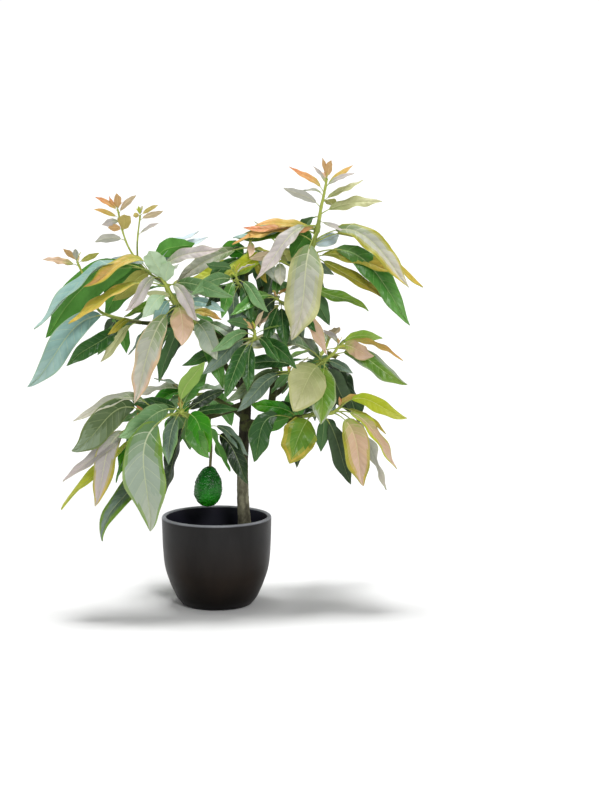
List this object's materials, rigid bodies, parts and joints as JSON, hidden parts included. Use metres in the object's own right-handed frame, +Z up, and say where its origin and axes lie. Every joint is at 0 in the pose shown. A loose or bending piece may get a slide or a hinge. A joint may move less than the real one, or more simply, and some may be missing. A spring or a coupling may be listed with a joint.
{
  "type": "avocado tree in a pot",
  "caption": "Young avocado tree with long drooping leaves, coloured new growth and a hanging fruit, growing in a plain dark rounded pot.",
  "frame": {"origin": "centre of the pot's flat underside", "axes": "+Z up, +X to the right of the plant's front view, +Y away from the viewer"},
  "size_m": [0.2613, 0.1573, 0.3048],
  "materials": {
    "pot": "satin charcoal glaze",
    "soil": "moist, granular",
    "bark": "rough grey-brown bark",
    "foliage": "leathery leaves, satin above and matt below",
    "fruit": "pebbled glossy skin"
  },
  "bodies": {
    "root": {"pot": "pot", "soil": "soil", "trunk": "bark", "right_limb": "bark", "upper_left_bough": "bark", "far_left_bough": "bark", "lower_left_bough": "bark", "lower_right_bough": "bark", "right_middle_bough": "bark", "front_bough": "bark", "upper_front_bough": "bark", "back_left_bough": "bark", "back_right_bough": "bark", "back_low_bough": "bark", "back_top_bough": "bark", "leader_foliage": "foliage", "top_centre_foliage": "foliage", "inner_left_foliage": "foliage", "inner_right_foliage": "foliage", "upper_left_foliage": "foliage", "far_left_foliage": "foliage", "lower_left_foliage": "foliage", "centre_foliage": "foliage", "right_middle_foliage": "foliage", "lower_right_foliage": "foliage", "back_left_foliage": "foliage", "back_right_foliage": "foliage", "back_low_foliage": "foliage", "back_top_foliage": "foliage", "fruiting_spray": "fruit"}
  },
  "joints": []
}
